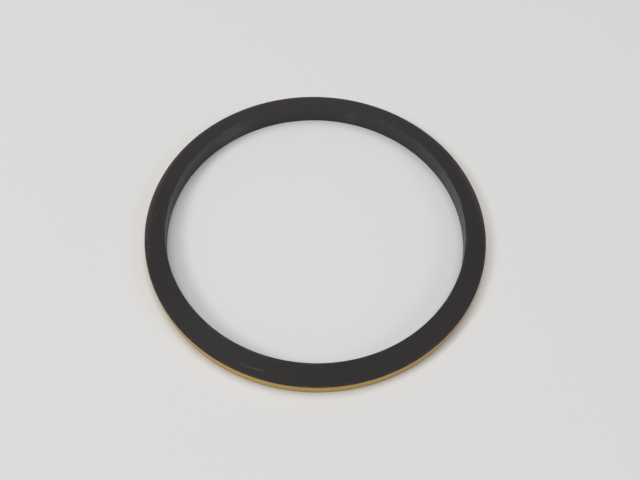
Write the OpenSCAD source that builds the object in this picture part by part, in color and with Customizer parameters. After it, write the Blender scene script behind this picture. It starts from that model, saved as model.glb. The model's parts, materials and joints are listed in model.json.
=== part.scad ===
// Bevelled seal ring: black rubber with a straight bore and a top face that slopes down to a lower outer wall.
// The outer wall leans in a little towards its foot, and a thin tan band is bonded round it.
// Millimetres. The ring lies on the plane Z = 0, with its axis along +Z through the origin.

/* [Rubber ring] */
// Diameter of the hole through the ring
bore_d = 66; // [20:0.5:160]
// Width of the rubber section at its outer corner, from the hole to the top of the outer wall
section_w = 4.65; // [2:0.05:12]
// Height of the wall round the hole, up to the bevel
bore_h = 5.1; // [2:0.1:12]
// Height of the outer wall, down to which the bevel falls
outer_h = 3.2; // [1.6:0.1:12]
// Angle by which the outer wall leans in towards its foot, in degrees
outer_draft = 7; // [0:0.5:10]
// Radius on the four edges of the rubber section, inside the corners that the sizes above set
edge_r = 0.1; // [0.05:0.05:0.6]

/* [Outer band] */
// Thickness of the tan band on the outer wall
band_t = 0.05; // [0.05:0.05:0.6]

/* [Hidden] */
$fn = 180;

bore_r = bore_d / 2;
// Slope of the bevel, which falls from the bore's height to the outer wall's over the whole section
bevel_a = atan((bore_h - outer_h) / section_w);
// Width of the face that the ring lies on
foot_w = section_w - outer_h * tan(outer_draft);

// Corners of the section with the bore's wall at x = 0, anticlockwise from the foot of the outer wall
corners = [
    [foot_w, 0],
    [section_w, outer_h],
    [0, bore_h],
    [0, 0],
];
// Directions that the sides face, in degrees: bottom, outer wall, bevel, bore wall and the bottom again
side_facing = [-90, -outer_draft, 90 - bevel_a, 180, 270];
// Centres of the rounded edges, each between one of those sides and the next
edge_centres = [for (i = [0:3]) corners[i] - edge_r * to_corner(side_facing[i], side_facing[i + 1])];
// Straight steps that make up each rounded edge
edge_steps = 6;

// The band covers the straight part of the outer wall, between its two rounded edges
wall_out = pointing(side_facing[1]);
wall_foot = edge_centres[0] + edge_r * wall_out;
wall_top = edge_centres[1] + edge_r * wall_out;

// Vector of length 1 in the direction a
function pointing(a) = [cos(a), sin(a)];

// Way from the centre of a rounded edge of radius 1 to the corner between sides that face a and b
function to_corner(a, b) = (pointing(a) + pointing(b)) / (1 + cos(b - a));

// Section of the rubber
module rubber_section() {
    // Each rounded edge turns from the way one side faces to the way the next one does
    polygon([
        for (i = [0:3], step = [0:edge_steps])
            let (facing = side_facing[i] + (side_facing[i + 1] - side_facing[i]) * step / edge_steps)
                edge_centres[i] + edge_r * pointing(facing)
    ]);
}

// Section of the band, of even thickness on the leaning wall
module band_section() {
    polygon([
        wall_foot,
        wall_foot + band_t * wall_out,
        wall_top + band_t * wall_out,
        wall_top,
    ]);
}

// Rubber ring: the bevelled section turned about the axis
module seal_ring() {
    color("#2f2e2d")
        rotate_extrude()
            translate([bore_r, 0])
                rubber_section();
}

// Tan band: a thin sleeve on the rubber's outer wall, clear of both rounded edges
module outer_band() {
    color("#d4aa5d")
        rotate_extrude()
            translate([bore_r, 0])
                band_section();
}

seal_ring();
outer_band();
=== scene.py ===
"""Looks of a bevelled seal ring: black rubber with a tan band round its outer wall, on a pale studio floor.

Lengths are written in millimetres and turned to metres by MM. The ring's axis is Z, through the origin, and
it lies on the plane Z = 0. Angles round the ring run anticlockwise from +X, seen from above.
"""

import json
import logging
import math
from dataclasses import dataclass
from enum import Enum
from typing import Any

import bpy
import numpy as np
from mathutils import Matrix, Vector
from numpy.typing import NDArray


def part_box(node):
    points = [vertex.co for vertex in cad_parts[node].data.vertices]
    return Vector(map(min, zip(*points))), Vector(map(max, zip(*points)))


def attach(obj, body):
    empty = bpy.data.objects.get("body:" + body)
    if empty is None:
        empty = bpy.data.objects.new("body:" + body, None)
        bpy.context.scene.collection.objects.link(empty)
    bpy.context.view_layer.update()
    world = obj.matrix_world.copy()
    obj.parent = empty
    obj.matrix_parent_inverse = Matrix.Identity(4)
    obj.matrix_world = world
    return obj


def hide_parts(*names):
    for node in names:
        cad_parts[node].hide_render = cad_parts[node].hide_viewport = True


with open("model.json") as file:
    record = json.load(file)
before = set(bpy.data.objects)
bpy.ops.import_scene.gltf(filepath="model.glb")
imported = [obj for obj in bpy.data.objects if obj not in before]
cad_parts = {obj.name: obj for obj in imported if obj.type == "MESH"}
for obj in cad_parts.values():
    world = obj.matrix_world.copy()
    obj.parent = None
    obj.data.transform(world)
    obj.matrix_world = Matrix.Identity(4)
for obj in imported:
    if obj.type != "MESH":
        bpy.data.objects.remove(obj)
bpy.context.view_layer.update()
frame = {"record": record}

MM = 0.001
IMAGE_WIDTH_PX = 640
BODY = "root"
EDGE_ATTRIBUTE = "rounded_edge"
# Settings of a Map Range node that eases in and out
SMOOTH = {"interpolation_type": "SMOOTHSTEP"}
# Settings and sockets of a Mix node that mixes colours
COLOURS = {"data_type": "RGBA"}
MIX_A, MIX_B, MIX_RESULT = 6, 7, 2
LOG = logging.getLogger("seal_ring")

Floats = NDArray[np.float64]
Socket = bpy.types.NodeSocket
Tree = bpy.types.NodeTree


class Node(Enum):
    """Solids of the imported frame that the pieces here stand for."""

    RING = "seal_ring"
    BAND = "outer_band"


class Slot(Enum):
    """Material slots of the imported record."""

    RUBBER = "black_rubber"
    BAND = "tan_band"


def linear(hex_colour: str) -> tuple[float, float, float, float]:
    """Turns an sRGB hex colour into the linear RGBA that shaders take.

    Args:
        hex_colour: Six hex digits after a number sign, such as "#2f2e2d".

    Returns:
        Linear red, green and blue, and an alpha of 1.
    """
    channels = np.array([int(hex_colour[i:i + 2], 16) for i in (1, 3, 5)]) / 255
    # The sRGB curve is straight near black, and a shifted power above that
    straight = channels / 12.92
    curved = ((channels + 0.055) / 1.055) ** 2.4
    red, green, blue = np.where(channels <= 0.04045, straight, curved)
    return float(red), float(green), float(blue), 1.0


def per_metre(size_mm: float) -> float:
    """Gives the scale at which a texture's unit cell is size_mm across on Object coordinates."""
    return 1 / (size_mm * MM)


def add_node(tree: Tree, kind: str, inputs: dict[str | int, Any] | None = None,
             settings: dict[str, Any] | None = None, out: str | int = 0) -> Socket | None:
    """Adds one shader node with its settings, its socket values and its links.

    Args:
        tree: The node tree that gets the node.
        kind: The node's type name without its leading "ShaderNode".
        inputs: Input sockets by name or number. A socket given as value is linked, and anything else is set.
        settings: The node's own options, such as operation.
        out: The output socket to give back, by name or number.

    Returns:
        That output socket, or None for a node without outputs.
    """
    node = tree.nodes.new("ShaderNode" + kind)
    for name, value in (settings or {}).items():
        setattr(node, name, value)
    for key, value in (inputs or {}).items():
        if isinstance(value, Socket):
            tree.links.new(value, node.inputs[key])
        else:
            node.inputs[key].default_value = value
    return node.outputs[out] if node.outputs else None


def is_ray(tree: Tree, kinds: tuple[str, ...]) -> Socket:
    """Adds a test of the kind of ray that is being traced.

    Args:
        tree: The node tree that gets the test.
        kinds: The kinds to look for, such as "Camera".

    Returns:
        1 for a ray of one of those kinds, and 0 for any other.
    """
    found: Socket | float = 0.0
    for kind in kinds:
        ray = add_node(tree, "LightPath", out=f"Is {kind} Ray")
        found = add_node(tree, "Math", {0: found, 1: ray}, {"operation": "MAXIMUM"})
    return found


def new_material(name: str) -> tuple[bpy.types.Material, Tree]:
    """Makes an empty node material.

    Args:
        name: The real material and how its surface was made.

    Returns:
        The material and its node tree, without nodes.
    """
    material = bpy.data.materials.new(name)
    material.use_nodes = True
    material.node_tree.nodes.clear()
    return material, material.node_tree


@dataclass(frozen=True)
class RingSizes:
    """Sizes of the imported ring, in metres.

    Attributes:
        bore_r: Radius of the bore's wall.
        rubber_r: Largest radius of the rubber.
        band_r: Largest radius of the band.
        edge_r: Radius of the rubber's rounded edges.
        bore_top: Height at which the straight part of the bore's wall ends.
        wall_top: Height at which the straight part of the outer wall ends, and the band with it.
        draft: Angle in radians by which the outer wall leans in towards its foot.
    """

    bore_r: float
    rubber_r: float
    band_r: float
    edge_r: float
    bore_top: float
    wall_top: float
    draft: float = math.radians(7.0)

    @classmethod
    def from_frame(cls) -> "RingSizes":
        """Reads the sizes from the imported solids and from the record's bore.

        The record's bore starts above the rounded edge at its foot, which gives the edges' radius.

        Returns:
            The sizes, with the draft at its own value.
        """
        bore = next(mount for mount in frame["record"]["mounts"] if mount["name"] == "bore")
        edge_r = bore["pos_m"][2] - bore["dims"]["length_mm"] * MM / 2
        ring_top, band_top = (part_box(node.value)[1].z for node in (Node.RING, Node.BAND))
        return cls(
            bore_r=bore["dims"]["r_mm"] * MM,
            rubber_r=cls.reach(Node.RING),
            band_r=cls.reach(Node.BAND),
            edge_r=edge_r,
            bore_top=ring_top - edge_r,
            wall_top=band_top,
        )

    @staticmethod
    def reach(node: Node) -> float:
        """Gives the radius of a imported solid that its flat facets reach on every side."""
        low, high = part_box(node.value)
        return min(-low.x, -low.y, high.x, high.y)

    @property
    def wall_out(self) -> Floats:
        """Direction that the outer wall faces, in the plane of radius and height."""
        return np.array([math.cos(self.draft), -math.sin(self.draft)])

    @property
    def rubber_discs(self) -> Floats:
        """Finds the discs in the rubber's four rounded edges.

        The upper outer disc reaches the largest radius, and the outer wall's straight part ends where that
        disc faces the same way as the wall. The disc at its foot lies further in, by the draft's tangent
        times the height between the two.

        Returns:
            One row of radius and height per disc's centre, anticlockwise from the foot of the outer wall.
        """
        top = np.array([self.rubber_r - self.edge_r, self.wall_top + self.edge_r * math.sin(self.draft)])
        foot_r = top[0] - (top[1] - self.edge_r) * math.tan(self.draft)
        bore = self.bore_r + self.edge_r
        return np.array([[foot_r, self.edge_r], top, [bore, self.bore_top], [bore, self.edge_r]])


@dataclass(frozen=True)
class Outline:
    """Closed section outline, run anticlockwise in the plane of radius and height.

    Attributes:
        points: One row of radius and height per point.
        normals: The outward direction at each point, in the same plane.
        rounded: 1 at points on a rounded edge, 0 on the straight sides.
    """

    points: Floats
    normals: Floats
    rounded: Floats

    @classmethod
    def round_discs(cls, centres: Floats, disc_r: float, arc_steps: int, side_steps: int) -> "Outline":
        """Makes the outline of a tight string round equal discs.

        The side that leaves a disc faces to the right of the line from its centre to the next one. Along a
        disc the outline is the centre plus disc_r times the cosine and sine of an angle that turns evenly
        from the facing of the side that arrives to that of the side that leaves, and those cosines and sines
        are the normals there. A side is split evenly from the end of one disc's arc to the start of the next
        one's.

        Args:
            centres: One row of radius and height per disc, anticlockwise.
            disc_r: Radius of the discs.
            arc_steps: Steps along each disc.
            side_steps: Steps along each side.

        Returns:
            The outline, from the start of the first disc's arc.
        """
        along = np.roll(centres, -1, axis=0) - centres
        leaves = np.arctan2(-along[:, 0], along[:, 1])
        arrives = np.roll(leaves, 1)
        turn = (leaves - arrives) % (2 * math.pi)
        angles = arrives[:, None] + turn[:, None] * np.linspace(0, 1, arc_steps + 1)
        arc_normals = np.stack([np.cos(angles), np.sin(angles)], axis=2)
        arcs = centres[:, None] + disc_r * arc_normals
        share = np.linspace(0, 1, side_steps + 1)[1:-1, None]
        sides = arcs[:, -1:] + share * (np.roll(arcs[:, :1], -1, axis=0) - arcs[:, -1:])
        side_normals = np.repeat(arc_normals[:, -1:], side_steps - 1, axis=1)
        points = np.concatenate([arcs, sides], axis=1)
        normals = np.concatenate([arc_normals, side_normals], axis=1)
        rounded = np.concatenate([np.ones(arcs.shape[:2]), np.zeros(sides.shape[:2])], axis=1)
        return cls(points.reshape(-1, 2), normals.reshape(-1, 2), rounded.ravel())

    def turned(self, name: str, turn_steps: int) -> bpy.types.Object:
        """Carries the outline round the Z axis and puts the surface into a mesh.

        The outline's point (radius, height) at angle a lies at (radius cos a, radius sin a, height). Both
        the outline and the turn close on themselves, so the surface has no seam and no pole.

        Args:
            name: Name of the piece.
            turn_steps: Steps in the full turn.

        Returns:
            The piece, smooth shaded with the outline's own normals, with the rounded edges as an attribute.
        """
        angle = np.linspace(0, 2 * math.pi, turn_steps, endpoint=False)[:, None]
        count = len(self.points)

        def carried(pairs: Floats) -> Floats:
            """Turns rows of (radial, axial) into whole arrays of x, y, z."""
            radial, axial = pairs[None, :, 0], pairs[None, :, 1]
            return np.stack(np.broadcast_arrays(radial * np.cos(angle), radial * np.sin(angle), axial),
                            axis=2).reshape(-1, 3)

        ring, place = np.meshgrid(np.arange(turn_steps), np.arange(count), indexing="ij")
        next_ring, next_place = (ring + 1) % turn_steps, (place + 1) % count
        corners = [ring * count + place, next_ring * count + place,
                   next_ring * count + next_place, ring * count + next_place]
        faces = np.stack(corners, axis=2).reshape(-1, 4)
        mesh = bpy.data.meshes.new(name)
        mesh.from_pydata(carried(self.points), [], faces)
        mesh.polygons.foreach_set("use_smooth", np.ones(len(faces), dtype=bool))
        edge = mesh.attributes.new(EDGE_ATTRIBUTE, "FLOAT", "POINT")
        edge.data.foreach_set("value", np.tile(self.rounded, turn_steps).astype(np.float32))
        mesh.normals_split_custom_set_from_vertices(carried(self.normals))
        piece = bpy.data.objects.new(name, mesh)
        bpy.context.scene.collection.objects.link(piece)
        return piece


@dataclass(frozen=True)
class Places:
    """Sockets that say where a point of a piece lies, in metres.

    Attributes:
        tree: The node tree that holds the sockets.
        point: The point itself, in Object coordinates.
        flat: The point without its height.
        radius: Its distance from the axis.
        height: Its height above the floor.
    """

    tree: Tree
    point: Socket
    flat: Socket
    radius: Socket
    height: Socket

    @classmethod
    def on(cls, tree: Tree) -> "Places":
        """Adds the nodes that measure a point: its length without Z is the radius, and its Z is the height.

        Args:
            tree: The node tree that gets them.

        Returns:
            Their sockets.
        """
        point = add_node(tree, "TexCoord", out="Object")
        flat = add_node(tree, "VectorMath", {0: point, 1: (1, 1, 0)}, {"operation": "MULTIPLY"})
        radius = add_node(tree, "VectorMath", {0: flat}, {"operation": "LENGTH"}, "Value")
        height = add_node(tree, "SeparateXYZ", {0: point}, out="Z")
        return cls(tree, point, flat, radius, height)

    def streaks(self, length_mm: float, width_mm: float, detail: float) -> Socket:
        """Adds noise that is drawn out round the ring.

        The noise is read at X and Y over the streaks' length, and at the radius less the height over their
        width. That last number changes across the bevel and up both walls, and stays the same round the
        ring.

        Args:
            length_mm: Length of a streak round the ring.
            width_mm: Width of a streak across the bevel or up a wall.
            detail: Octaves of finer noise on it.

        Returns:
            Its level, about 0.5 on average.
        """
        across = add_node(self.tree, "Math", {0: self.radius, 1: self.height}, {"operation": "SUBTRACT"})
        lifted = add_node(self.tree, "CombineXYZ", {"Z": across})
        lengths = add_node(self.tree, "VectorMath", {0: self.flat, "Scale": per_metre(length_mm)},
                           {"operation": "SCALE"})
        both = add_node(self.tree, "VectorMath", {0: lifted, 1: (0, 0, per_metre(width_mm)), 2: lengths},
                        {"operation": "MULTIPLY_ADD"})
        return add_node(self.tree, "TexNoise", {"Vector": both, "Scale": 1.0, "Detail": detail}, out="Fac")

    def total(self, start: Socket | float, parts: list[tuple[Socket, float]]) -> Socket:
        """Adds up weighted levels.

        Args:
            start: What the sum starts from.
            parts: Levels, each with its weight.

        Returns:
            The sum.
        """
        level = start
        for part, weight in parts:
            level = add_node(self.tree, "Math", {0: part, 1: weight, 2: level},
                             {"operation": "MULTIPLY_ADD"})
        return level

    def varied(self, level: float, noises: list[tuple[Socket, float]]) -> Socket:
        """Varies a level by weighted noises, which leave its average as it is because theirs is a half."""
        return self.total(level - sum(weight for _, weight in noises) / 2, noises)


@dataclass(frozen=True)
class Mark:
    """A scuffed, rubbed or dusty place on the rubber, or a painted highlight or painted reflection on it.

    Attributes:
        angle_deg: Its place round the ring.
        radius_mm: Its distance from the axis.
        height_mm: Its height above the floor.
        half_mm: Half its size outwards, round the ring and upwards.
        strength: How much paler it makes the rubber at its middle.
        lean_deg: How far its far end turns outwards from the way round the ring.
    """

    angle_deg: float
    radius_mm: float
    height_mm: float
    half_mm: tuple[float, float, float]
    strength: float
    lean_deg: float = 0.0

    def mask(self, places: Places) -> Socket:
        """Adds the mark's mask.

        The ring is turned so that the mark's middle lies on X. The way round from there is the point's angle
        times the mark's radius, and with the ways outwards and upwards it is turned by the lean and divided
        by the half sizes. The mask falls smoothly from 1 at the middle to 0 where the length of that is 1.

        Args:
            places: The point to test.

        Returns:
            The mask.
        """
        tree = places.tree
        turned = add_node(tree, "VectorRotate", {
            "Vector": places.point, "Angle": -math.radians(self.angle_deg)}, {"rotation_type": "Z_AXIS"})
        x, y = (add_node(tree, "SeparateXYZ", {0: turned}, out=axis) for axis in "XY")
        angle = add_node(tree, "Math", {0: y, 1: x}, {"operation": "ARCTAN2"})
        way_round = add_node(tree, "Math", {0: angle, 1: self.radius_mm * MM}, {"operation": "MULTIPLY"})
        place = add_node(tree, "CombineXYZ", {"X": places.radius, "Y": way_round, "Z": places.height})
        own = add_node(tree, "Mapping", {
            "Vector": place, "Location": (self.radius_mm * MM, 0, self.height_mm * MM),
            "Rotation": (0, 0, -math.radians(self.lean_deg)), "Scale": Vector(self.half_mm) * MM},
            {"vector_type": "TEXTURE"})
        away = add_node(tree, "VectorMath", {0: own}, {"operation": "LENGTH"}, "Value")
        return add_node(tree, "MapRange", {"Value": away, "To Min": 1.0, "To Max": 0.0}, SMOOTH)


MARKS = (
    # A long faint scuff on the bevel, and a bright scratch in two strokes along it
    Mark(angle_deg=250.8, radius_mm=36.15, height_mm=3.8, half_mm=(0.4, 4.2, 1.0), strength=0.45,
         lean_deg=-4.3),
    Mark(angle_deg=247.6, radius_mm=36.02, height_mm=3.9, half_mm=(0.16, 1.7, 1.0), strength=0.85),
    Mark(angle_deg=253.0, radius_mm=36.05, height_mm=3.9, half_mm=(0.16, 2.3, 1.0), strength=1.25),
    # Painted highlights on stretches of the outer rim, the last one from the back round to the front
    Mark(angle_deg=17.5, radius_mm=37.2, height_mm=3.4, half_mm=(1.25, 15.0, 2.5), strength=0.5),
    Mark(angle_deg=27.0, radius_mm=37.4, height_mm=3.3, half_mm=(0.8, 6.5, 2.5), strength=0.6),
    Mark(angle_deg=176.0, radius_mm=37.25, height_mm=3.4, half_mm=(1.5, 15.0, 2.5), strength=0.45),
    Mark(angle_deg=159.0, radius_mm=37.45, height_mm=3.3, half_mm=(0.75, 13.0, 2.5), strength=1.3),
    Mark(angle_deg=95.0, radius_mm=37.65, height_mm=3.2, half_mm=(1.4, 90.0, 2.5), strength=0.4),
    # A rubbed patch across the bevel, and a fleck of dust
    Mark(angle_deg=189.4, radius_mm=36.6, height_mm=3.6, half_mm=(0.8, 0.4, 1.0), strength=0.4),
    Mark(angle_deg=28.1, radius_mm=36.83, height_mm=3.5, half_mm=(0.3, 0.35, 0.5), strength=1.5),
    # On the bore's wall: a painted reflection of the pale floor on its right side, and two smudges
    Mark(angle_deg=19.0, radius_mm=33.0, height_mm=2.0, half_mm=(1.0, 10.0, 3.6), strength=1.4),
    Mark(angle_deg=77.8, radius_mm=33.0, height_mm=2.4, half_mm=(1.0, 2.4, 3.0), strength=0.5),
    Mark(angle_deg=128.5, radius_mm=33.0, height_mm=2.2, half_mm=(1.0, 6.5, 4.0), strength=0.9),
)


@dataclass(frozen=True)
class MouldedRubber:
    """Black nitrile rubber, moulded in a ring: satin, nearly neutral black with a thin grey bloom.

    The eye sees an even dark grey with a dull sheen, faint streaks that run round the ring, paler edges that
    are partly worn by handling and partly painted highlight, painted highlights along stretches of the outer
    rim, a few specks of lint and a scuff or two. The bore was moulded on a smooth core, so it is a little
    glossier and mirrors the floor at a flat angle, and a paler tone on its wall is a painted reflection of
    that floor.

    Attributes:
        sizes: Sizes of the ring.
        marks: Its scuffs, rubbed places, dust and smudges, and painted highlights and a painted reflection.
        name: Name of the material.
        black: Colour of clean rubber.
        bloom_and_painted_light: Colour of rubber that is covered with bloom, also used for the painted
            highlights and reflection.
        bloom_level: How much bloom covers a plain place on average.
        bore_painted_reflection: How much paler the bore's wall is painted, a painted reflection of the pale
            floor that it mirrors.
        edge_wear_and_highlight: How much paler a rounded edge is, partly wear and partly painted highlight.
        streak_bloom: How much the streaks vary the bloom.
        mottle_bloom: How much the mottle varies it.
        grain_bloom: How much the grain varies it.
        streak_mm: Length of a streak.
        streak_width_mm: Width of a streak.
        streak_detail: Octaves of finer noise on the streaks.
        mottle_mm: Size of the mottle.
        mottle_detail: Octaves of finer noise on the mottle.
        grain_mm: Size of the grain.
        edge_noise_mm: Size of the noise that makes an edge paler here and spares it there.
        edge_noise_from: Level of that noise at which an edge starts to turn paler.
        edge_noise_full: Level at which the edge is fully pale.
        face_roughness: Average roughness of the moulded faces.
        bore_roughness: Average roughness of the bore's wall.
        mottle_roughness: How much the mottle varies both.
        ior: Lower than clean rubber's 1.5, because the bloom dulls its gloss.
        grain_relief: Share of the grain in the relief.
        streak_relief: Share of the streaks in it.
        relief_mm: Depth of the relief.
        relief_strength: How much of the relief shows.
        lint: Colour of a speck of lint.
        lint_cell_mm: Distance between the scattered points at which lint may lie.
        lint_mm: Radius of a speck.
        lint_core: Share of that radius inside which its cover is full.
        lint_cover: How much of the rubber a speck covers there.
        lint_from: Random level of a point above which it has a speck.
        lint_full: Random level above which that speck isn't faded.
    """

    sizes: RingSizes
    marks: tuple[Mark, ...]
    name: str = "nitrile rubber, moulded"
    black: str = "#1f1c1c"
    bloom_and_painted_light: str = "#403c3c"
    bloom_level: float = 0.20
    bore_painted_reflection: float = 0.15
    edge_wear_and_highlight: float = 0.60
    streak_bloom: float = 0.10
    mottle_bloom: float = 0.16
    grain_bloom: float = 0.08
    streak_mm: float = 14.0
    streak_width_mm: float = 0.4
    streak_detail: float = 3.0
    mottle_mm: float = 5.0
    mottle_detail: float = 4.0
    # Real grain is about 0.05 mm, drawn at 0.3 mm so that it shows
    grain_mm: float = 0.3
    edge_noise_mm: float = 1.8
    edge_noise_from: float = 0.38
    edge_noise_full: float = 0.68
    face_roughness: float = 0.55
    bore_roughness: float = 0.42
    mottle_roughness: float = 0.12
    ior: float = 1.38
    grain_relief: float = 0.6
    streak_relief: float = 0.4
    relief_mm: float = 0.02
    relief_strength: float = 0.25
    lint: str = "#8f8b85"
    lint_cell_mm: float = 3.2
    lint_mm: float = 0.16
    lint_core: float = 0.3
    lint_cover: float = 0.5
    lint_from: float = 0.66
    lint_full: float = 0.7

    def build(self) -> bpy.types.Material:
        """Makes the material.

        Returns:
            The material.
        """
        material, tree = new_material(self.name)
        places = Places.on(tree)
        streaks = places.streaks(self.streak_mm, self.streak_width_mm, self.streak_detail)
        mottle = add_node(tree, "TexNoise", {
            "Vector": places.point, "Scale": per_metre(self.mottle_mm), "Detail": self.mottle_detail},
            out="Fac")
        grain = add_node(tree, "TexNoise", {
            "Vector": places.point, "Scale": per_metre(self.grain_mm)}, out="Fac")
        bore = add_node(tree, "MapRange", {
            "Value": places.radius, "From Min": self.sizes.bore_r,
            "From Max": self.sizes.bore_r + self.sizes.edge_r, "To Min": 1.0, "To Max": 0.0}, SMOOTH)
        thin_bloom = places.varied(self.bloom_level, [
            (streaks, self.streak_bloom), (mottle, self.mottle_bloom), (grain, self.grain_bloom)])
        # Paler rounded edges, partly wear and partly painted highlight, and the bore's wall made paler as a
        # painted reflection of the floor
        added = [(self.worn_and_highlit_edges(places), self.edge_wear_and_highlight), (bore, self.bore_painted_reflection)]
        # The marks add scuffs, dust and smudges, painted highlights on the outer rim and a painted
        # reflection on the bore's wall
        added += [(mark.mask(places), mark.strength) for mark in self.marks]
        # The grey mixed in here is bloom, wear and marks, together with painted highlights and a painted
        # reflection
        bloom_and_painted_light = places.total(thin_bloom, added)
        rubber = add_node(tree, "Mix", {0: bloom_and_painted_light, MIX_A: linear(self.black), MIX_B: linear(self.bloom_and_painted_light)},
                          COLOURS, MIX_RESULT)
        colour = add_node(tree, "Mix", {0: self.specks(places), MIX_A: rubber, MIX_B: linear(self.lint)},
                          COLOURS, MIX_RESULT)
        satin = places.varied(self.face_roughness, [(mottle, self.mottle_roughness)])
        roughness = places.total(satin, [(bore, self.bore_roughness - self.face_roughness)])
        relief = places.total(0.0, [(grain, self.grain_relief), (streaks, self.streak_relief)])
        bump = add_node(tree, "Bump", {
            "Height": relief, "Strength": self.relief_strength, "Distance": self.relief_mm * MM},
            out="Normal")
        shader = add_node(tree, "BsdfPrincipled", {
            "Base Color": colour, "Roughness": roughness, "IOR": self.ior, "Normal": bump})
        add_node(tree, "OutputMaterial", {"Surface": shader})
        return material

    def worn_and_highlit_edges(self, places: Places) -> Socket:
        """Adds the paler rounded edges, partly wear and partly painted highlight, which noise breaks up into
        stretches.

        Args:
            places: The point to test.

        Returns:
            1 where an edge is fully pale, and 0 where it isn't pale and on the faces.
        """
        edge = add_node(places.tree, "Attribute", settings={"attribute_name": EDGE_ATTRIBUTE}, out="Fac")
        noise = add_node(places.tree, "TexNoise", {
            "Vector": places.point, "Scale": per_metre(self.edge_noise_mm)}, out="Fac")
        stretches = add_node(places.tree, "MapRange", {
            "Value": noise, "From Min": self.edge_noise_from, "From Max": self.edge_noise_full}, SMOOTH)
        return add_node(places.tree, "Math", {0: edge, 1: stretches}, {"operation": "MULTIPLY"})

    def specks(self, places: Places) -> Socket:
        """Adds sparse specks of lint.

        A speck is where the nearest of points scattered a cell apart is closer than the speck's radius, in
        the third of the cells whose random level is highest.

        Args:
            places: The point to test.

        Returns:
            How much lint covers the rubber.
        """
        tree = places.tree
        nearest = {"feature": "F1"}
        scattered = {"Vector": places.point, "Scale": per_metre(self.lint_cell_mm)}
        away = add_node(tree, "TexVoronoi", scattered, nearest, "Distance")
        draw = add_node(tree, "TexVoronoi", scattered, nearest, "Color")
        chance = add_node(tree, "SeparateColor", {0: draw}, out="Red")
        radius = self.lint_mm / self.lint_cell_mm
        near = add_node(tree, "MapRange", {
            "Value": away, "From Min": self.lint_core * radius, "From Max": radius,
            "To Min": self.lint_cover, "To Max": 0.0}, SMOOTH)
        chosen = add_node(tree, "MapRange", {
            "Value": chance, "From Min": self.lint_from, "From Max": self.lint_full}, SMOOTH)
        return add_node(tree, "Math", {0: near, 1: chosen}, {"operation": "MULTIPLY"})


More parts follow.
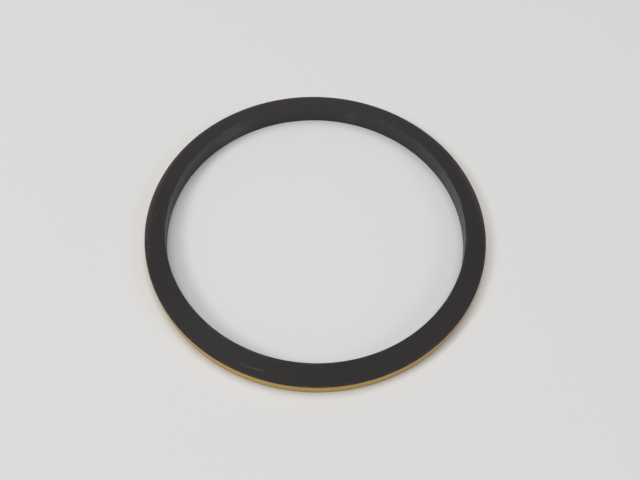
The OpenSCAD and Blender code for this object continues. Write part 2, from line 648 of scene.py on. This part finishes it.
@dataclass(frozen=True)
class TanCoat:
    """Tan polymer coat on the rubber's outer wall, put on thin and left matt.

    The eye sees a warm ochre line, a little uneven in tone, with fine streaks round the wall, and darker
    where the coat thins out towards its two edges and the black rubber shows through. The darker foot is
    also painted shade, where the wall meets the floor.

    Attributes:
        sizes: Sizes of the ring.
        name: Name of the material.
        tan: Colour of the coat where it is deepest.
        pale: Colour where it is palest.
        thin_and_shade: Colour where the rubber shows through, and of the painted shade at the foot.
        pale_level: How far the coat is from tan to pale on average.
        mottle_pale: How much the mottle varies that.
        streak_pale: How much the streaks vary it.
        mottle_mm: Size of the mottle.
        mottle_detail: Octaves of finer noise on the mottle.
        streak_mm: Length of a brush mark.
        streak_width_mm: Width of a brush mark.
        streak_detail: Octaves of finer noise on the brush marks.
        ragged_mm: How far the mottle shifts the two thin edges, either way.
        top_mm: Width of the thin edge at the top.
        top_thin: How much rubber shows at the very top.
        foot_mm: Width of the thin edge at the foot, which is also painted shade.
        foot_thin_and_shade: How much rubber shows, and how deep the painted shade is, at the very foot.
        roughness: Average roughness.
        mottle_roughness: How much the mottle varies it.
        relief_mm: Depth of the brush marks.
        relief_strength: How much of that depth shows.
    """

    sizes: RingSizes
    name: str = "tan polymer coat, brushed on"
    tan: str = "#cea33a"
    pale: str = "#d8b566"
    thin_and_shade: str = "#4a3a22"
    pale_level: float = 0.35
    mottle_pale: float = 0.7
    streak_pale: float = 0.5
    mottle_mm: float = 1.6
    mottle_detail: float = 3.0
    streak_mm: float = 9.0
    # Real brush marks are about 0.05 mm wide, drawn at 0.22 mm so that they show
    streak_width_mm: float = 0.22
    streak_detail: float = 2.0
    ragged_mm: float = 0.12
    top_mm: float = 0.30
    top_thin: float = 0.9
    foot_mm: float = 0.55
    foot_thin_and_shade: float = 0.8
    roughness: float = 0.55
    mottle_roughness: float = 0.10
    relief_mm: float = 0.02
    relief_strength: float = 0.3

    def build(self) -> bpy.types.Material:
        """Makes the material.

        Returns:
            The material.
        """
        material, tree = new_material(self.name)
        places = Places.on(tree)
        mottle = add_node(tree, "TexNoise", {
            "Vector": places.point, "Scale": per_metre(self.mottle_mm), "Detail": self.mottle_detail},
            out="Fac")
        streaks = places.streaks(self.streak_mm, self.streak_width_mm, self.streak_detail)
        tone = places.varied(self.pale_level, [(mottle, self.mottle_pale), (streaks, self.streak_pale)])
        coat = add_node(tree, "Mix", {0: tone, MIX_A: linear(self.tan), MIX_B: linear(self.pale)},
                        COLOURS, MIX_RESULT)
        # The thin coat at both edges, with painted shade at the foot where the wall meets the floor
        thin_and_shaded_edges = self.thinned_and_shaded(places, mottle)
        colour = add_node(tree, "Mix", {0: thin_and_shaded_edges, MIX_A: coat, MIX_B: linear(self.thin_and_shade)},
                          COLOURS, MIX_RESULT)
        roughness = places.varied(self.roughness, [(mottle, self.mottle_roughness)])
        bump = add_node(tree, "Bump", {
            "Height": streaks, "Strength": self.relief_strength, "Distance": self.relief_mm * MM},
            out="Normal")
        shader = add_node(tree, "BsdfPrincipled", {
            "Base Color": colour, "Roughness": roughness, "Normal": bump})
        add_node(tree, "OutputMaterial", {"Surface": shader})
        return material

    def thinned_and_shaded(self, places: Places, mottle: Socket) -> Socket:
        """Adds the coat's two thin edges, which the mottle makes ragged. The one at the foot is also painted
        shade.

        Args:
            places: The point to test.
            mottle: The coat's mottle.

        Returns:
            How much of the rubber shows through, and the painted shade at the foot.
        """
        tree = places.tree
        shift = places.varied(0.0, [(mottle, 2 * self.ragged_mm * MM)])
        ragged = add_node(tree, "Math", {0: places.height, 1: shift}, {"operation": "ADD"})
        top, foot = self.sizes.wall_top, self.sizes.edge_r
        above = add_node(tree, "MapRange", {
            "Value": ragged, "From Min": top - self.top_mm * MM, "From Max": top,
            "To Max": self.top_thin}, SMOOTH)
        # Painted shade: darker towards the foot, where the wall meets the floor, as well as thinner coat
        thin_and_shade_at_foot = add_node(tree, "MapRange", {
            "Value": ragged, "From Min": foot, "From Max": foot + self.foot_mm * MM,
            "To Min": self.foot_thin_and_shade, "To Max": 0.0}, SMOOTH)
        return add_node(tree, "Math", {0: above, 1: thin_and_shade_at_foot}, {"operation": "ADD"})


@dataclass(frozen=True)
class PaleFloor:
    """Matt studio paper, which the eye sees as pale, plain and nearly white.

    Attributes:
        name: Name of the material.
        pale: Colour of the paper.
        lit_mm: Distance from the axis up to which the paper shows as the lamps light it, with the shadow.
        even_mm: Distance from which it shows its even colour, out to the horizon.
    """

    name: str = "matt pale studio paper"
    pale: str = "#dadada"
    lit_mm: float = 140.0
    even_mm: float = 420.0

    def build(self) -> bpy.types.Material:
        """Makes the material.

        Returns:
            The material.
        """
        material, tree = new_material(self.name)
        places = Places.on(tree)
        far = add_node(tree, "MapRange", {
            "Value": places.radius, "From Min": self.lit_mm * MM, "From Max": self.even_mm * MM}, SMOOTH)
        seen = is_ray(tree, ("Camera", "Glossy", "Transmission"))
        even = add_node(tree, "Math", {0: far, 1: seen}, {"operation": "MULTIPLY"})
        lit = add_node(tree, "BsdfDiffuse", {"Color": linear(self.pale)})
        plain = add_node(tree, "Emission", {"Color": linear(self.pale)})
        shader = add_node(tree, "MixShader", {0: even, 1: lit, 2: plain})
        add_node(tree, "OutputMaterial", {"Surface": shader})
        return material


def dress(piece: bpy.types.Object, material: bpy.types.Material, node: Node) -> bpy.types.Object:
    """Gives a piece its material and body, and hides the solid that it stands for.

    Args:
        piece: The new piece, in place.
        material: Its finish.
        node: The solid that it stands for.

    Returns:
        The same piece.
    """
    piece.data.materials.append(material)
    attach(piece, BODY)
    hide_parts(node.value)
    LOG.info("%s: %d faces, %s", piece.name, len(piece.data.polygons), material.name)
    return piece


@dataclass
class SealRing:
    """The rubber ring: a bevelled section with rounded edges, carried round the axis.

    Attributes:
        sizes: Sizes of the ring.
        finish: Its rubber.
        turn_steps: Steps in the full turn.
        arc_steps: Steps along each rounded edge.
        side_steps: Steps along each side of the section.
    """

    sizes: RingSizes
    finish: MouldedRubber
    turn_steps: int = 720
    arc_steps: int = 12
    side_steps: int = 10

    def build(self) -> bpy.types.Object:
        """Builds and dresses the ring, in place of its solid.

        Returns:
            The ring.
        """
        discs = self.sizes.rubber_discs
        outline = Outline.round_discs(discs, self.sizes.edge_r, self.arc_steps, self.side_steps)
        piece = outline.turned("rubber_ring", self.turn_steps)
        return dress(piece, self.finish.build(), Node.RING)


@dataclass
class OuterBand:
    """The tan band: a thin sleeve on the rubber's outer wall, with softened corners.

    Attributes:
        sizes: Sizes of the ring.
        finish: The band's coat.
        turn_steps: Steps in the full turn.
        arc_steps: Steps along each softened corner.
        side_steps: Steps along each side of the section.
        corner_share: Radius of the corners, as a share of the band's thickness.
    """

    sizes: RingSizes
    finish: TanCoat
    turn_steps: int = 720
    arc_steps: int = 4
    side_steps: int = 12
    corner_share: float = 0.4

    def build(self) -> bpy.types.Object:
        """Builds and dresses the band, in place of its solid.

        The band follows the straight part of the outer wall, and its outer top edge reaches the band's
        largest radius. Its four corner discs lie inside it by their own radius.

        Returns:
            The band.
        """
        out = self.sizes.wall_out
        up = np.array([-out[1], out[0]])
        foot, top = self.sizes.rubber_discs[:2] + self.sizes.edge_r * out
        thickness = (self.sizes.band_r - top[0]) / out[0]
        corner_r = self.corner_share * thickness
        outer, inner = out * (thickness - corner_r), out * corner_r
        low, high = foot + up * corner_r, top - up * corner_r
        discs = np.array([low + outer, high + outer, high + inner, low + inner])
        outline = Outline.round_discs(discs, corner_r, self.arc_steps, self.side_steps)
        piece = outline.turned("tan_band", self.turn_steps)
        return dress(piece, self.finish.build(), Node.BAND)


@dataclass(frozen=True)
class Lamp:
    """One soft square lamp that points at the origin.

    Attributes:
        name: Name of the lamp.
        azimuth_deg: Direction of the lamp from the origin, anticlockwise from +X.
        elevation_deg: Height of that direction above the floor.
        distance_mm: Distance from the origin.
        size_mm: Side of the lamp.
        level: Share of the level at which a white floor renders as white, if this were the only lamp.
        gloss: Whether the lamp shows in glossy surfaces.
    """

    name: str
    azimuth_deg: float
    elevation_deg: float
    distance_mm: float
    size_mm: float
    level: float
    gloss: bool = True

    def build(self) -> bpy.types.Object:
        """Makes the lamp.

        A small lamp of power P at distance d, seen from the origin at elevation e, gives the floor there an
        irradiance of P sin e / (pi d squared), and a white floor renders as white at an irradiance of pi.

        Returns:
            The lamp.
        """
        azimuth, elevation = math.radians(self.azimuth_deg), math.radians(self.elevation_deg)
        towards = Vector((math.cos(azimuth) * math.cos(elevation), math.sin(azimuth) * math.cos(elevation),
                          math.sin(elevation)))
        distance = self.distance_mm * MM
        data = bpy.data.lights.new(self.name, "AREA")
        data.shape = "SQUARE"
        data.size = self.size_mm * MM
        data.energy = self.level * (math.pi * distance) ** 2 / math.sin(elevation)
        lamp = bpy.data.objects.new(self.name, data)
        lamp.visible_glossy = self.gloss
        lamp.location = towards * distance
        lamp.rotation_mode = "QUATERNION"
        lamp.rotation_quaternion = towards.to_track_quat("Z", "Y")
        bpy.context.scene.collection.objects.link(lamp)
        return lamp


LAMPS = (
    # The key stands in two halves, so that only one of them shows as a sheen on the rubber
    Lamp("key_lamp", azimuth_deg=209.6, elevation_deg=49.8, distance_mm=1200, size_mm=380, level=0.14,
         gloss=False),
    Lamp("key_sheen", azimuth_deg=209.6, elevation_deg=49.8, distance_mm=1210, size_mm=380, level=0.094),
    # A wide lamp overhead gives most of the light, and a weak one lifts the right side
    Lamp("high_lamp", azimuth_deg=133, elevation_deg=86.7, distance_mm=1500, size_mm=1250, level=0.66,
         gloss=False),
    Lamp("right_lamp", azimuth_deg=343.5, elevation_deg=38, distance_mm=1200, size_mm=440, level=0.065),
)


@dataclass(frozen=True)
class PhotoCamera:
    """The photograph's camera: a moderately long lens above the ring's near side, looking down at it.

    Attributes:
        focal_px: Focal length in pixels of the image's width.
        pitch_deg: How far the view points below the horizon.
        roll_deg: How far the ring's right side is turned down in the image.
        position_mm: Place of the lens.
        sensor_mm: Width of the sensor that the lens is given for.
        clip_mm: Distance from the lens at which the view starts.
    """

    focal_px: float = 1180.0
    pitch_deg: float = 58.585
    roll_deg: float = 2.30
    position_mm: tuple[float, float, float] = (1.03, -137.7, 225.0)
    sensor_mm: float = 36.0
    clip_mm: float = 1.0

    def build(self) -> bpy.types.Object:
        """Makes the camera and sets it as the scene's.

        Returns:
            The camera.
        """
        pitch, roll = math.radians(self.pitch_deg), math.radians(self.roll_deg)
        forward = np.array([0.0, math.cos(pitch), -math.sin(pitch)])
        right = np.array([1.0, 0.0, 0.0])
        down = np.cross(forward, right)
        across = math.cos(roll) * right - math.sin(roll) * down
        up = -(math.sin(roll) * right + math.cos(roll) * down)
        data = bpy.data.cameras.new("photo_camera")
        data.sensor_width = self.sensor_mm
        data.lens = self.focal_px / IMAGE_WIDTH_PX * self.sensor_mm
        data.clip_start = self.clip_mm * MM
        camera = bpy.data.objects.new("photo_camera", data)
        turned = Matrix(np.stack([across, up, -forward], axis=1)).to_4x4()
        camera.matrix_world = Matrix.Translation(Vector(self.position_mm) * MM) @ turned
        bpy.context.scene.collection.objects.link(camera)
        bpy.context.scene.camera = camera
        return camera


@dataclass
class Studio:
    """Pale floor, soft lamps and an even surround.

    Attributes:
        floor: The floor's finish, whose colour the surround shares where it is seen.
        lamps: The lamps.
        surround: Colour of the surround's light.
        light_level: The surround's level as light on the ring and the floor.
        gloss_level: Its level in gloss and through glass.
        floor_mm: Side of the floor.
    """

    floor: PaleFloor
    lamps: tuple[Lamp, ...]
    surround: str = "#ffffff"
    light_level: float = 0.172
    gloss_level: float = 0.44
    floor_mm: float = 6000.0

    def build(self) -> None:
        """Builds the floor, the lamps and the surround, and sets the plain view transform."""
        half = self.floor_mm / 2 * MM
        corners = [(-half, -half, 0), (half, -half, 0), (half, half, 0), (-half, half, 0)]
        mesh = bpy.data.meshes.new("studio_floor")
        mesh.from_pydata(corners, [], [(0, 1, 2, 3)])
        mesh.materials.append(self.floor.build())
        floor = bpy.data.objects.new("studio_floor", mesh)
        bpy.context.scene.collection.objects.link(floor)
        for lamp in self.lamps:
            lamp.build()
        self.build_surround()
        bpy.context.scene.view_settings.view_transform = "Standard"
        LOG.info("studio: %d lamps", len(self.lamps))

    def build_surround(self) -> None:
        """Builds the world: dim as light, brighter in gloss, and as pale as the floor to the eye."""
        world = bpy.data.worlds.new("studio_surround")
        world.use_nodes = True
        tree = world.node_tree
        tree.nodes.clear()
        mirrored = is_ray(tree, ("Glossy", "Transmission"))
        level = add_node(tree, "MapRange", {
            "Value": mirrored, "To Min": self.light_level, "To Max": self.gloss_level})
        light = add_node(tree, "Background", {"Color": linear(self.surround), "Strength": level})
        pale = add_node(tree, "Background", {"Color": linear(self.floor.pale)})
        seen = add_node(tree, "MixShader", {0: is_ray(tree, ("Camera",)), 1: light, 2: pale})
        add_node(tree, "OutputWorld", {"Surface": seen})
        bpy.context.scene.world = world


def main() -> None:
    """Builds the camera, the ring, its band and the studio, and reports each piece."""
    logging.basicConfig(level=logging.INFO, format="%(name)s: %(message)s")
    sizes = RingSizes.from_frame()
    PhotoCamera().build()
    SealRing(sizes, MouldedRubber(sizes, MARKS)).build()
    OuterBand(sizes, TanCoat(sizes)).build()
    Studio(PaleFloor(), LAMPS).build()


if __name__ == "__main__":
    main()
